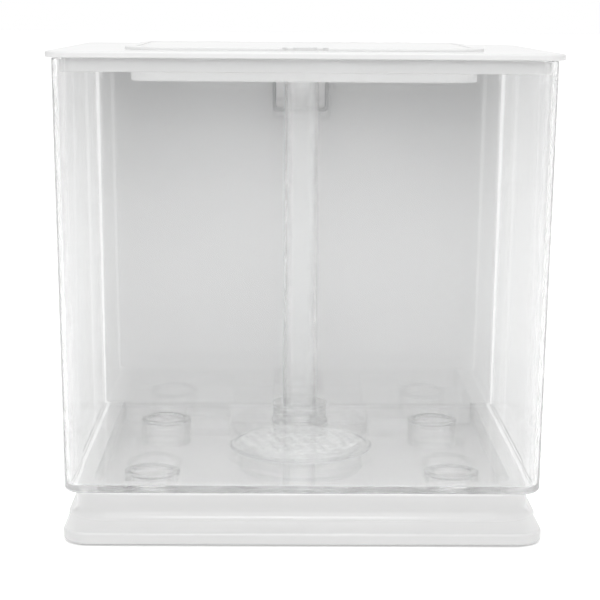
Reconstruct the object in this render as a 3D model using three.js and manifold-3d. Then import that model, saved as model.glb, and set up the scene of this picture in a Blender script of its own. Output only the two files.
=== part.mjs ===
// Self-cleaning desktop aquarium: a clear tank on a white stand, a white waste reservoir behind it,
// a strainer over a sump in the tank floor, a lift tube up to a notch in the rear wall, and a lid.
// Millimetres, +Z up, front towards -Y, origin on the surface it stands on, at the centre of its footprint.
import * as THREE from "three";
import { mergeVertices } from "three/addons/utils/BufferGeometryUtils.js";
import Module from "manifold-3d";

const wasm = await Module();
wasm.setup();

// ---------------------------------------------------------------- driving dimensions

const GAP = 0.3; // between pieces that rest on each other

// Stand
const STAND = { halfX: 91.9, halfY: 98.5, bottom: 0.8, floor: 5.2, corner: 11 };
const LEDGE = { top: 15.4, halfX: 89.1, front: -78.9, corner: 13, innerHalfX: 82.8, innerFront: -67.3 };
const FLARE = 3.2; // concave foot of the ledge where it meets the slab
const PEG = { radius: 8, top: 14.4, spigot: 3, spigotBottom: 3.2 };
const BLOCK = { innerX: 31.6, width: 21, front: 45.5, back: 66, top: 13.6 };
const PAD = { radius: 7, thick: 1.7, x: 76, y: 82 };

// Tank
const TANK = {
  halfX: 93, front: -81.5, back: 68.5, corner: 8, backCorner: 3.2,
  wall: 2.2, taper: 2.6, bottom: 15.8, floor: 18.3, rim: 183,
};
const SOCKET = {
  x: 60, y: [-55.8, 32.2], inner: 8.7, outer: 11, bottom: 5.6, beadRadius: 9.4, beadWidth: 3.4, beadTop: 19.4,
};
const SUMP = { y: -11.7, radius: 24.6, wall: 1.9, bottom: 5.6, seatRadius: 30.3, seatZ: 16.9 };
const DUCT = { halfX: 6, wall: 1.7, bottom: 7.4 }; // joins the sump to the foot of the lift tube
const NOTCH = { halfX: 13, bottom: 154.7, corner: 2.5 };
const LINER = { wall: 1.8, lip: 1.1 };

// Strainer and lift tube
const RIM = { radius: 29.8, top: 18.7, thick: 1.5, opening: 22.6 };
const PLATE = {
  radius: 25.2, top: 20.4, thick: 1.3, skirt: 1.3, hole: 1.25, pitch: 4.9, turn: 15, field: 22.5, teeth: 28,
};
const TUBE_Y = 33.5;
const COLLAR = { outer: 12.3, inner: 9, top: 26.5 };
const SEAL = { bottom: 22, top: 24, play: 0.12 };
const TUBE = { outer: 7.5, inner: 5.9, bottom: 19.0, top: 176, flare: 8.3, flareHeight: 2.4 };
const WINDOW = { halfX: 3.6, bottom: 158.4, top: 165.4 };
const SPOUT = { halfX: 6.4, wall: 1.4, bottom: 156.9, top: 164.9, end: 80.5 };

// Lid
const LID = { over: 1.9, thick: 2.4, corner: 9, flangeBottom: 178, flangeWall: 2, flangeGap: 0.5 };
const FEED = {
  halfX: 67.7, front: -59.3, back: 46.3, corner: 13, wall: 2.1, bottom: 173.8, brim: 2.6, brimTop: 186.9,
};
const HATCH = { thick: 1.9, play: 0.45, shelf: 2, shelfThick: 2.4, tabHalfX: 4.5, fingerRadius: 9 };
const HINGE = { x: 42, length: 12, barrel: 1.5, pin: 0.85, play: 0.12, lug: 3.4, z: 185.6, inset: 2.1 };

// Reservoir
const RESERVOIR = {
  footHalfX: 82.2, footFront: 69.4, footBack: 95, halfX: 92.2, front: 69.3, back: 95.6, corner: 3,
  spread: 2, wall: 2, top: 180, stepZ: 15.8,
};
const GRIP = { halfX: 26, height: 7, z: 150 };

const CORNER_STEPS = 5; // segments in a quarter turn of a rounded rectangle
const ROUND = 40; // segments in a full turn of a large round part
const SMALL_ROUND = 24; // and of a small one

// ---------------------------------------------------------------- materials

const finish = (name, color, roughness, extra = {}) =>
  Object.assign(new THREE.MeshStandardMaterial({ color, roughness, metalness: 0, ...extra }), { name });
const white = finish("white_abs", 0xf2f2f0, 0.25);
const clear = finish("clear_styrene", 0xe8eef0, 0.05, { transparent: true, opacity: 0.3 });
const silicone = finish("silicone", 0x9b9d9e, 0.6);
const rubber = finish("rubber", 0x3a3a3c, 0.85);
const steel = finish("steel", 0xb8babc, 0.3, { metalness: 1 });

// ---------------------------------------------------------------- solids

// A closed three.js geometry as a solid that can be joined and cut.
function solid(geometry) {
  const plain = geometry.index ? geometry.toNonIndexed() : geometry.clone();
  for (const name of Object.keys(plain.attributes)) if (name !== "position") plain.deleteAttribute(name);
  const merged = mergeVertices(plain, 1e-4);
  return new wasm.Manifold(
    new wasm.Mesh({
      numProp: 3,
      vertProperties: merged.attributes.position.array,
      triVerts: new Uint32Array(merged.index.array),
    }),
  );
}

function geometryOf(manifold) {
  const mesh = manifold.getMesh();
  const geometry = new THREE.BufferGeometry();
  geometry.setAttribute("position", new THREE.BufferAttribute(mesh.vertProperties, 3));
  geometry.setIndex(new THREE.BufferAttribute(mesh.triVerts, 1));
  return geometry;
}

// A rounded rectangle in plan, anticlockwise seen from above. The back corners may have their own radius.
function outline({ halfX, front, back, corner, backCorner = corner }) {
  const points = [];
  const centres = [
    [1, back, -1, backCorner],
    [-1, back, -1, backCorner],
    [-1, front, 1, corner],
    [1, front, 1, corner],
  ];
  for (const [quarter, [side, y, inward, radius]] of centres.entries())
    for (let i = 0; i <= CORNER_STEPS; i++) {
      const a = (quarter + i / CORNER_STEPS) * (Math.PI / 2);
      const x = side * (halfX - radius) + radius * Math.cos(a);
      points.push([x, y + inward * radius + radius * Math.sin(a)]);
    }
  return points;
}

// A rounded rectangle grown (or shrunk) by a distance all round.
const grown = (rect, by) => ({
  halfX: rect.halfX + by,
  front: rect.front - by,
  back: rect.back + by,
  corner: Math.max(rect.corner + by, 0.5),
  backCorner: Math.max((rect.backCorner ?? rect.corner) + by, 0.5),
});

// A solid through rounded rectangles at rising heights.
function loft(levels) {
  const rings = levels.map(([rect, z]) => outline(rect).map(([x, y]) => [x, y, z]));
  const n = rings[0].length;
  const position = rings.flat(2);
  const index = [];
  for (let k = 0; k + 1 < rings.length; k++)
    for (let i = 0; i < n; i++) {
      const j = (i + 1) % n;
      index.push(k * n + i, k * n + j, (k + 1) * n + j, k * n + i, (k + 1) * n + j, (k + 1) * n + i);
    }
  const last = (rings.length - 1) * n;
  for (let i = 1; i + 1 < n; i++) {
    index.push(0, i + 1, i);
    index.push(last, last + i, last + i + 1);
  }
  const geometry = new THREE.BufferGeometry();
  geometry.setAttribute("position", new THREE.Float32BufferAttribute(position, 3));
  geometry.setIndex(index);
  return solid(geometry);
}

const prism = (rect, z0, z1) => loft([[rect, z0], [rect, z1]]);

function box(x0, x1, y0, y1, z0, z1) {
  const block = new THREE.BoxGeometry(x1 - x0, y1 - y0, z1 - z0);
  return solid(block.translate((x0 + x1) / 2, (y0 + y1) / 2, (z0 + z1) / 2));
}

// A body of revolution about a vertical axis at (x, y), from [radius, height] points.
function turned(points, x = 0, y = 0, steps = ROUND) {
  const profile = [...points, points[0]].map(([r, z]) => new THREE.Vector2(r, z));
  return solid(new THREE.LatheGeometry(profile, steps).rotateX(Math.PI / 2).translate(x, y, 0));
}

const disc = (radius, z0, z1, x = 0, y = 0, steps = ROUND) =>
  turned([[0, z0], [radius, z0], [radius, z1], [0, z1]], x, y, steps);

const ring = (inner, outer, z0, z1, x = 0, y = 0, steps = ROUND) =>
  turned([[inner, z0], [outer, z0], [outer, z1], [inner, z1]], x, y, steps);

// A round bar along X.
function barX(radius, x0, x1, y, z, steps = 12) {
  const bar = new THREE.CylinderGeometry(radius, radius, x1 - x0, steps).rotateZ(Math.PI / 2);
  return solid(bar.translate((x0 + x1) / 2, y, z));
}

const join = (parts) => parts.reduce((all, part) => all.add(part));

function piece(name, body, material) {
  const mesh = new THREE.Mesh(geometryOf(body), material);
  mesh.name = name;
  return mesh;
}

// ---------------------------------------------------------------- stand

function standTray() {
  const slab = { halfX: STAND.halfX, front: -STAND.halfY, back: STAND.halfY, corner: STAND.corner };
  const ledge = { halfX: LEDGE.halfX, front: LEDGE.front, back: STAND.halfY - 2, corner: LEDGE.corner };
  const flare = (z, by) => [{ ...grown(ledge, by), back: ledge.back }, z];
  const base = loft([
    [grown(slab, -1.4), STAND.bottom],
    [grown(slab, -0.4), STAND.bottom + 0.5],
    [slab, STAND.bottom + 1.4],
    [slab, STAND.floor - 1],
    [grown(slab, -0.3), STAND.floor - 0.35],
    [grown(slab, -1), STAND.floor],
  ]);
  const neck = loft([
    flare(STAND.floor - 1, FLARE - 0.6),
    flare(STAND.floor + 0.1, FLARE - 0.6),
    flare(STAND.floor + 0.7, FLARE * 0.5),
    flare(STAND.floor + 1.8, FLARE * 0.22),
    flare(STAND.floor + 3.6, FLARE * 0.05),
    flare(LEDGE.top - 0.8, 0),
    flare(LEDGE.top, -0.7),
  ]);
  const recess = prism(
    { halfX: LEDGE.innerHalfX, front: LEDGE.innerFront, back: STAND.halfY + 20, corner: 6 },
    STAND.floor,
    LEDGE.top + 5,
  );
  const blocks = [-1, 1].map((side) => {
    const x0 = side * BLOCK.innerX;
    const x1 = side * (BLOCK.innerX + BLOCK.width);
    const block = { halfX: BLOCK.width / 2, front: BLOCK.front, back: BLOCK.back, corner: 1.5 };
    return loft([[block, STAND.floor - 1], [block, BLOCK.top - 0.6], [grown(block, -0.6), BLOCK.top]])
      .translate([(x0 + x1) / 2, 0, 0]);
  });
  const pockets = fourPlaces(PAD.x, [-PAD.y, PAD.y]).map(([, x, y]) =>
    disc(PAD.radius + GAP, 0, PAD.thick + GAP, x, y, SMALL_ROUND),
  );
  const pegHoles = fourPlaces(SOCKET.x, SOCKET.y).map(([, x, y]) =>
    disc(PEG.spigot + GAP, PEG.spigotBottom - GAP, STAND.floor + 1, x, y, SMALL_ROUND / 2),
  );
  return join([base, neck.subtract(recess), ...blocks]).subtract(join([...pockets, ...pegHoles]));
}

// Front left, front right, back left and back right, as [name, x, y].
function fourPlaces(x, [front, back]) {
  return [
    ["front_left", -x, front],
    ["front_right", x, front],
    ["back_left", -x, back],
    ["back_right", x, back],
  ];
}

function footPad(x, y) {
  const profile = [[0, 0], [PAD.radius - 0.4, 0], [PAD.radius, 0.4], [PAD.radius, PAD.thick], [0, PAD.thick]];
  return turned(profile, x, y, SMALL_ROUND);
}

// A peg plugged into the tray's floor, for one of the tank's sockets to drop over.
function locatingPeg(x, y) {
  const seat = STAND.floor + GAP;
  const profile = [
    [0, PEG.spigotBottom],
    [PEG.spigot, PEG.spigotBottom],
    [PEG.spigot, seat],
    [PEG.radius, seat],
    [PEG.radius, PEG.top - 0.8],
    [PEG.radius - 0.8, PEG.top],
    [0, PEG.top],
  ];
  return turned(profile, x, y, SMALL_ROUND);
}

// ---------------------------------------------------------------- tank

// The tank's outer wall at a height: it widens evenly from the floor to the rim.
function tankAt(z, inset = 0) {
  const by = (TANK.taper * (z - TANK.bottom)) / (TANK.rim - TANK.bottom) - inset;
  const { halfX, front, back, corner, backCorner } = TANK;
  return grown({ halfX, front, back, corner, backCorner }, by);
}

function tankShell() {
  const outer = loft([
    [tankAt(TANK.bottom, 1.8), TANK.bottom],
    [tankAt(TANK.bottom, 0.6), TANK.bottom + 0.6],
    [tankAt(TANK.bottom + 1.8), TANK.bottom + 1.8],
    [tankAt(TANK.rim), TANK.rim],
  ]);
  const inner = loft([
    [tankAt(TANK.floor, TANK.wall + 1), TANK.floor],
    [tankAt(TANK.floor + 1, TANK.wall), TANK.floor + 1],
    [tankAt(TANK.rim + 1, TANK.wall), TANK.rim + 1],
  ]);
  const sumpOuter = SUMP.radius + SUMP.wall;
  const sumpFloor = SUMP.bottom + SUMP.wall;
  const wellOutside = [
    [0, SUMP.bottom],
    [sumpOuter - 2.4, SUMP.bottom],
    [sumpOuter - 0.7, SUMP.bottom + 0.7],
    [sumpOuter, SUMP.bottom + 2.4],
    [sumpOuter, TANK.floor - 0.5],
    [0, TANK.floor - 0.5],
  ];
  const wellInside = [
    [0, sumpFloor],
    [SUMP.radius - 1.6, sumpFloor],
    [SUMP.radius, sumpFloor + 1.6],
    [SUMP.radius, TANK.floor + 1],
    [0, TANK.floor + 1],
  ];
  const seat = disc(SUMP.seatRadius, SUMP.seatZ, TANK.floor + 1, 0, SUMP.y);
  const tubeSeat = disc(COLLAR.outer + 0.4, SUMP.seatZ, TANK.floor + 1, 0, TUBE_Y, SMALL_ROUND);
  const bridge = box(-COLLAR.outer, COLLAR.outer, SUMP.y + 20, TUBE_Y, SUMP.seatZ, TANK.floor + 1);
  const duct = ductSolid(DUCT.halfX + DUCT.wall, DUCT.bottom, TANK.floor - 0.5);
  const ductInside = ductSolid(DUCT.halfX, DUCT.bottom + DUCT.wall, TANK.floor + 1);
  const sockets = fourPlaces(SOCKET.x, SOCKET.y).map(([, x, y]) => socket(x, y));
  const notch = notchCut(NOTCH.halfX, NOTCH.bottom, TANK.back - 6, TANK.back + 6);
  const shell = join([outer.subtract(inner), turned(wellOutside, 0, SUMP.y), duct, ...sockets]);
  return shell.subtract(join([turned(wellInside, 0, SUMP.y), seat, tubeSeat, bridge, ductInside, notch]));
}

function ductSolid(halfX, z0, z1) {
  return disc(halfX, z0, z1, 0, TUBE_Y, SMALL_ROUND).add(box(-halfX, halfX, SUMP.y + 15, TUBE_Y, z0, z1));
}

// A skirt under the floor that drops over a peg of the stand, with a raised ring above it.
function socket(x, y) {
  const skirt = ring(SOCKET.inner, SOCKET.outer, SOCKET.bottom, TANK.bottom + 1, x, y, SMALL_ROUND);
  const inside = SOCKET.beadRadius - SOCKET.beadWidth / 2;
  const outside = SOCKET.beadRadius + SOCKET.beadWidth / 2;
  const bead = [
    [inside, TANK.floor - 1],
    [outside, TANK.floor - 1],
    [outside, TANK.floor + 0.2],
    [outside - SOCKET.beadWidth / 4, SOCKET.beadTop],
    [inside + SOCKET.beadWidth / 4, SOCKET.beadTop],
    [inside, TANK.floor + 0.2],
  ];
  return skirt.add(turned(bead, x, y, SMALL_ROUND));
}

// A U-shaped opening, open at the top, cut through a wall that faces along Y.
function notchCut(halfX, bottom, y0, y1) {
  const shape = new THREE.Shape();
  const r = NOTCH.corner;
  shape.moveTo(-halfX, TANK.rim + 10);
  shape.lineTo(-halfX, bottom + r);
  shape.absarc(-halfX + r, bottom + r, r, Math.PI, 1.5 * Math.PI, false);
  shape.lineTo(halfX - r, bottom);
  shape.absarc(halfX - r, bottom + r, r, 1.5 * Math.PI, 2 * Math.PI, false);
  shape.lineTo(halfX, TANK.rim + 10);
  shape.closePath();
  const options = { depth: y1 - y0, bevelEnabled: false, curveSegments: CORNER_STEPS };
  return solid(new THREE.ExtrudeGeometry(shape, options).rotateX(Math.PI / 2).translate(0, y1, 0));
}

// A soft U-shaped trim pressed on the edge of the tank's notch.
function notchLiner() {
  const wallBack = tankAt(NOTCH.bottom).back;
  const wallFront = wallBack - TANK.wall;
  const y0 = wallFront - LINER.lip - 0.4;
  const y1 = wallBack + 0.4;
  const top = LID.flangeBottom - 1;
  const block = box(-NOTCH.halfX + GAP / 2, NOTCH.halfX - GAP / 2, y0, y1, NOTCH.bottom + GAP / 2, top);
  const outer = block.intersect(notchCut(NOTCH.halfX - GAP / 2, NOTCH.bottom + GAP / 2, y0 - 1, y1 + 1));
  return outer.subtract(notchCut(NOTCH.halfX - LINER.wall, NOTCH.bottom + LINER.wall, y0 - 1, y1 + 1));
}

// ---------------------------------------------------------------- strainer and lift tube

// The flange that lies on the seat in the floor, with the lobe that carries the tube's collar.
function strainerRim() {
  const z0 = RIM.top - RIM.thick;
  const flange = disc(RIM.radius, z0, RIM.top, 0, SUMP.y);
  const lobe = disc(COLLAR.outer, z0, RIM.top, 0, TUBE_Y, SMALL_ROUND);
  const web = box(-COLLAR.outer + 3, COLLAR.outer - 3, SUMP.y + 26, TUBE_Y, z0, RIM.top);
  const bead = [
    [RIM.radius - 2.1, RIM.top - 0.5],
    [RIM.radius - 0.1, RIM.top - 0.5],
    [RIM.radius - 0.5, RIM.top + 0.5],
    [RIM.radius - 1.6, RIM.top + 0.5],
  ];
  const beadGap = box(-COLLAR.outer, COLLAR.outer, SUMP.y + 20, TUBE_Y + 20, z0, RIM.top + 2);
  const mouth = disc(RIM.opening, z0 - 1, RIM.top + 2, 0, SUMP.y);
  const tubeHole = disc(TUBE.inner + 0.4, z0 - 1, RIM.top + 2, 0, TUBE_Y, SMALL_ROUND);
  const raised = turned(bead, 0, SUMP.y).subtract(beadGap);
  return join([flange, lobe, web, raised]).subtract(join([mouth, tubeHole]));
}

// The perforated plate: holes on a turned square grid, on a low skirt of teeth.
function strainerPlate() {
  const z0 = PLATE.top - PLATE.thick;
  const foot = RIM.top + 0.1;
  const plate = disc(PLATE.radius, z0, PLATE.top, 0, SUMP.y);
  const holes = [];
  const turn = THREE.MathUtils.degToRad(PLATE.turn);
  const reach = Math.ceil(PLATE.field / PLATE.pitch);
  for (let i = -reach; i <= reach; i++)
    for (let j = -reach; j <= reach; j++) {
      const x = PLATE.pitch * (i * Math.cos(turn) - j * Math.sin(turn));
      const y = PLATE.pitch * (i * Math.sin(turn) + j * Math.cos(turn));
      if (Math.hypot(x, y) > PLATE.field) continue;
      holes.push(disc(PLATE.hole, z0 - 1, PLATE.top + 1, x, SUMP.y + y, 6));
    }
  const skirt = ring(PLATE.radius - PLATE.skirt, PLATE.radius, foot, z0 + 0.2, 0, SUMP.y);
  const slots = [];
  for (let i = 0; i < PLATE.teeth; i++) {
    const slot = box(-1.2, 1.2, PLATE.radius - 2.5, PLATE.radius + 1, foot - 1, z0 - 0.1);
    slots.push(slot.rotate([0, 0, (i * 360) / PLATE.teeth]).translate([0, SUMP.y, 0]));
  }
  const hub = ring(PLATE.radius - PLATE.skirt, PLATE.radius, foot, foot + 0.35, 0, SUMP.y);
  return plate.subtract(join(holes)).add(skirt.subtract(join(slots))).add(hub);
}

function tubeCollar() {
  const z0 = RIM.top + GAP;
  const profile = [
    [COLLAR.inner, z0],
    [COLLAR.outer, z0],
    [COLLAR.outer - 0.4, z0 + 1.2],
    [COLLAR.outer - 0.4, COLLAR.top - 1.2],
    [COLLAR.outer, COLLAR.top - 0.5],
    [COLLAR.outer - 0.6, COLLAR.top],
    [COLLAR.inner, COLLAR.top],
  ];
  return turned(profile, 0, TUBE_Y, SMALL_ROUND);
}

function tubeSeal() {
  const profile = [
    [TUBE.flare + 0.1, SEAL.bottom],
    [COLLAR.inner - SEAL.play, SEAL.bottom],
    [COLLAR.inner - SEAL.play, SEAL.top],
    [TUBE.outer + 0.15, SEAL.top],
    [TUBE.outer + 0.15, SEAL.bottom + 0.6],
  ];
  return turned(profile, 0, TUBE_Y, SMALL_ROUND);
}

function liftTube() {
  const flareTop = TUBE.bottom + TUBE.flareHeight;
  const profile = [
    [TUBE.inner, TUBE.bottom],
    [TUBE.flare, TUBE.bottom],
    [TUBE.flare, TUBE.bottom + 0.8],
    [TUBE.outer, flareTop],
    [TUBE.outer, TUBE.top - 0.4],
    [TUBE.outer - 0.4, TUBE.top],
    [TUBE.inner, TUBE.top],
  ];
  const opening = box(-WINDOW.halfX, WINDOW.halfX, TUBE_Y + 2, TUBE_Y + 12, WINDOW.bottom, WINDOW.top);
  return turned(profile, 0, TUBE_Y, SMALL_ROUND).subtract(opening);
}

// The open trough from the tube's window through the notch to the reservoir.
function tubeSpout() {
  const y0 = TUBE_Y + 1;
  const inside = SPOUT.halfX - SPOUT.wall;
  const outer = box(-SPOUT.halfX, SPOUT.halfX, y0, SPOUT.end, SPOUT.bottom, SPOUT.top);
  const channel = box(-inside, inside, y0 - 1, SPOUT.end + 1, SPOUT.bottom + SPOUT.wall, SPOUT.top + 1);
  const tube = disc(TUBE.outer + 0.12, SPOUT.bottom - 1, SPOUT.top + 1, 0, TUBE_Y, SMALL_ROUND);
  return outer.subtract(channel).subtract(tube);
}

// ---------------------------------------------------------------- lid

const LID_BOTTOM = TANK.rim + GAP;
const LID_TOP = LID_BOTTOM + LID.thick;
const feedRect = { halfX: FEED.halfX, front: FEED.front, back: FEED.back, corner: FEED.corner };
const hingeY = feedRect.back - FEED.wall - HINGE.inset;

function lidFrame() {
  const edge = { ...tankAt(TANK.rim, -LID.over), corner: LID.corner, backCorner: LID.corner };
  const plate = loft([
    [grown(edge, -0.6), LID_BOTTOM],
    [edge, LID_BOTTOM + 0.6],
    [edge, LID_TOP - 0.8],
    [grown(edge, -0.8), LID_TOP],
  ]);
  const flangeOutside = tankAt(LID.flangeBottom, TANK.wall + LID.flangeGap);
  const flange = prism(flangeOutside, LID.flangeBottom, LID_BOTTOM + 0.2)
    .subtract(prism(grown(flangeOutside, -LID.flangeWall), LID.flangeBottom - 1, LID_BOTTOM + 1));
  const opening = prism(grown(feedRect, GAP), LID.flangeBottom - 1, LID_TOP + 1);
  return plate.add(flange).subtract(opening);
}

// The deep ring in the lid's opening: its brim lies on the lid and a shelf inside carries the hatch.
function feedCollar() {
  const inside = grown(feedRect, -FEED.wall);
  const hatchBottom = FEED.brimTop - HATCH.thick;
  const shelfBottom = hatchBottom - HATCH.shelfThick;
  const wall = prism(feedRect, FEED.bottom, LID_TOP + GAP + 0.2);
  const brim = loft([
    [grown(feedRect, FEED.brim), LID_TOP + GAP],
    [grown(feedRect, FEED.brim), FEED.brimTop - 0.4],
    [grown(feedRect, FEED.brim - 0.5), FEED.brimTop],
  ]);
  const hollow = join([
    prism(inside, hatchBottom - GAP, FEED.brimTop + 1),
    prism(grown(inside, -HATCH.shelf), FEED.bottom - 1, FEED.brimTop),
    prism(inside, FEED.bottom - 1, shelfBottom),
    disc(HATCH.fingerRadius, hatchBottom - GAP, FEED.brimTop + 1, 0, FEED.front - 3.5, SMALL_ROUND),
  ]);
  const lugs = [];
  const hingeCuts = [];
  for (const side of [-1, 1]) {
    const bay = HINGE.length / 2 + HINGE.play;
    const [y0, y1] = [hingeY - HINGE.barrel - 1, hingeY + HINGE.barrel + 0.5];
    const [x0, x1] = [side * HINGE.x - bay, side * HINGE.x + bay];
    hingeCuts.push(box(x0, x1, y0, y1, HINGE.z - HINGE.barrel - 0.4, FEED.brimTop + 1));
    for (const end of [-1, 1]) {
      const x = side * HINGE.x + end * (bay + HINGE.lug / 2);
      const [left, right] = [x - HINGE.lug / 2, x + HINGE.lug / 2];
      lugs.push(box(left, right, hingeY - 1.3, FEED.back - FEED.wall + 0.5, shelfBottom, FEED.brimTop));
      hingeCuts.push(barX(HINGE.pin + 0.05, left - 1, right + 1, hingeY, HINGE.z));
    }
  }
  return join([wall.add(brim).subtract(hollow), ...lugs]).subtract(join(hingeCuts));
}

function hingePin(side) {
  const half = HINGE.length / 2 + HINGE.play + HINGE.lug;
  return barX(HINGE.pin, side * HINGE.x - half, side * HINGE.x + half, hingeY, HINGE.z);
}

function feedingHatch() {
  const inside = grown(feedRect, -FEED.wall - HATCH.play);
  const z0 = FEED.brimTop - HATCH.thick;
  const panelRect = { ...inside, back: hingeY - HINGE.barrel - 0.35 };
  const panel = loft([
    [panelRect, z0],
    [panelRect, FEED.brimTop - 0.3],
    [grown(panelRect, -0.4), FEED.brimTop],
  ]);
  const barrels = [];
  const bores = [];
  for (const side of [-1, 1]) {
    const x = side * HINGE.x;
    const half = HINGE.length / 2;
    barrels.push(barX(HINGE.barrel, x - half, x + half, hingeY, HINGE.z, 16));
    barrels.push(box(x - half, x + half, panelRect.back - 1, hingeY, HINGE.z - 0.6, HINGE.z + 1));
    bores.push(barX(HINGE.pin + HINGE.play, x - half - 1, x + half + 1, hingeY, HINGE.z));
  }
  const ribRect = { halfX: 50, front: FEED.front + 8, back: FEED.front + 9.4, corner: 0.6 };
  const tabRect = { halfX: HATCH.tabHalfX, front: FEED.front + 0.6, back: FEED.front + 6, corner: 2 };
  const rib = prism(ribRect, z0 - 1.4, z0 + 0.2);
  const tab = prism(tabRect, z0, FEED.brimTop);
  return join([panel, ...barrels, rib, tab]).subtract(join(bores));
}

// ---------------------------------------------------------------- reservoir

function reservoirAt(z, inset = 0) {
  const share = (z - RESERVOIR.stepZ) / (RESERVOIR.top - RESERVOIR.stepZ);
  return grown({
    halfX: RESERVOIR.halfX + RESERVOIR.spread * share,
    front: RESERVOIR.front + TANK.taper * share,
    back: RESERVOIR.back + RESERVOIR.spread * share,
    corner: RESERVOIR.corner,
  }, -inset);
}

function reservoirBox() {
  const { stepZ, top, wall, footHalfX, footFront, footBack } = RESERVOIR;
  const foot = { halfX: footHalfX, front: footFront, back: footBack, corner: 5 };
  const z0 = STAND.floor + GAP;
  const footOutside = loft([[grown(foot, -0.8), z0], [foot, z0 + 0.8], [foot, stepZ + 1]]);
  const footInside = prism(grown(foot, -wall), z0 + wall, stepZ + 4);
  const wellOutside = loft([
    [reservoirAt(stepZ, 0.7), stepZ],
    [reservoirAt(stepZ + 0.8), stepZ + 0.8],
    [reservoirAt(top - 0.5), top - 0.5],
    [reservoirAt(top, 0.5), top],
  ]);
  const wellInside = loft([
    [reservoirAt(stepZ + 2.2, wall), stepZ + 2.2],
    [reservoirAt(top + 1, wall), top + 1],
  ]);
  const notch = notchCut(NOTCH.halfX + 0.1, NOTCH.bottom - 0.3, RESERVOIR.front - 3, RESERVOIR.front + 8);
  return join([footOutside, wellOutside]).subtract(join([footInside, wellInside, notch])).add(gripRail());
}

// A finger rail across the back wall, to pull the reservoir out by.
function gripRail() {
  const y = reservoirAt(GRIP.z).back;
  const rail = { halfX: GRIP.halfX, front: y - 1.2, back: STAND.halfY, corner: 0.5 };
  return loft([[{ ...rail, back: y }, GRIP.z - GRIP.height], [rail, GRIP.z - 1.2], [rail, GRIP.z]]);
}

// ---------------------------------------------------------------- assembly

const aquarium = new THREE.Group();
aquarium.add(piece("stand_tray", standTray(), white));
for (const [place, x, y] of fourPlaces(PAD.x, [-PAD.y, PAD.y]))
  aquarium.add(piece(`foot_pad_${place}`, footPad(x, y), rubber));
for (const [place, x, y] of fourPlaces(SOCKET.x, SOCKET.y))
  aquarium.add(piece(`locating_peg_${place}`, locatingPeg(x, y), white));
aquarium.add(piece("reservoir_box", reservoirBox(), white));
aquarium.add(piece("tank_shell", tankShell(), clear));
aquarium.add(piece("notch_liner", notchLiner(), silicone));
aquarium.add(piece("strainer_rim", strainerRim(), clear));
aquarium.add(piece("strainer_plate", strainerPlate(), clear));
aquarium.add(piece("tube_collar", tubeCollar(), clear));
aquarium.add(piece("tube_seal", tubeSeal(), silicone));
aquarium.add(piece("lift_tube", liftTube(), clear));
aquarium.add(piece("tube_spout", tubeSpout(), clear));
aquarium.add(piece("lid_frame", lidFrame(), white));
aquarium.add(piece("feed_collar", feedCollar(), white));
aquarium.add(piece("hinge_pin_left", hingePin(-1), steel));
aquarium.add(piece("hinge_pin_right", hingePin(1), steel));
aquarium.add(piece("feeding_hatch", feedingHatch(), white));

export default aquarium;
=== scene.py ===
"""Look of the small self-cleaning desktop aquarium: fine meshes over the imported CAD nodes, clear and
white moulded plastic, a pale floor and soft studio light. Lengths are millimetres until solid()."""

import math
from collections import namedtuple

import bmesh
import bpy
from mathutils import Matrix, Vector


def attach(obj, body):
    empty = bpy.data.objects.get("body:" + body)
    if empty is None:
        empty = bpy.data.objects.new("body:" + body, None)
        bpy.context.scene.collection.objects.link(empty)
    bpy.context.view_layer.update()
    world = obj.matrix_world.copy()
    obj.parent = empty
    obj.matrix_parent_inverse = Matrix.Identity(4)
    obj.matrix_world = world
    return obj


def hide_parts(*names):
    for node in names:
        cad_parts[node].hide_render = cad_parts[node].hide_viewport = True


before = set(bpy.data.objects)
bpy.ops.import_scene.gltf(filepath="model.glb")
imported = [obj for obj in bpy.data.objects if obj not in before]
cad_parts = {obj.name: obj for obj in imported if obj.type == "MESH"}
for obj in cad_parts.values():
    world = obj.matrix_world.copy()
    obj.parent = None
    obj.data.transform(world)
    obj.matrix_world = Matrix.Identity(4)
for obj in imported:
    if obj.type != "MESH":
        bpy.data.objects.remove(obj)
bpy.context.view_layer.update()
scene = bpy.context.scene

MM = 0.001
GAP = 0.3
FINE = 128  # sides of the larger circles
Rect = namedtuple("Rect", "half_x front back corner rear", defaults=(None,))

# ---------------------------------------------------------------- dimensions

# Stand
SLAB = Rect(91.9, -98.5, 98.5, 11)
SLAB_BOTTOM, SLAB_TOP = 0.8, 5.2
LEDGE = Rect(89.1, -78.9, 96.5, 13)
LEDGE_TOP = 15.4
RECESS = Rect(82.8, -67.3, 118.5, 6)
FLARE = 3.2
PEG_PLACES = {
    "front_left": (-60, -55.8), "front_right": (60, -55.8),
    "back_left": (-60, 32.2), "back_right": (60, 32.2),
}
PAD_PLACES = {
    "front_left": (-76, -82), "front_right": (76, -82),
    "back_left": (-76, 82), "back_right": (76, 82),
}
PAD_RADIUS, PAD_THICK = 7, 1.7
PEG_RADIUS, PEG_TOP, PEG_SPIGOT, PEG_SPIGOT_BOTTOM = 8, 14.4, 3, 3.2
BLOCK_INNER, BLOCK_WIDTH, BLOCK_TOP = 31.6, 21, 13.6
BLOCK_FRONT, BLOCK_BACK = 45.5, 66
COVE_HEIGHT, COVE_STEPS = 4.6, 12

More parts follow.
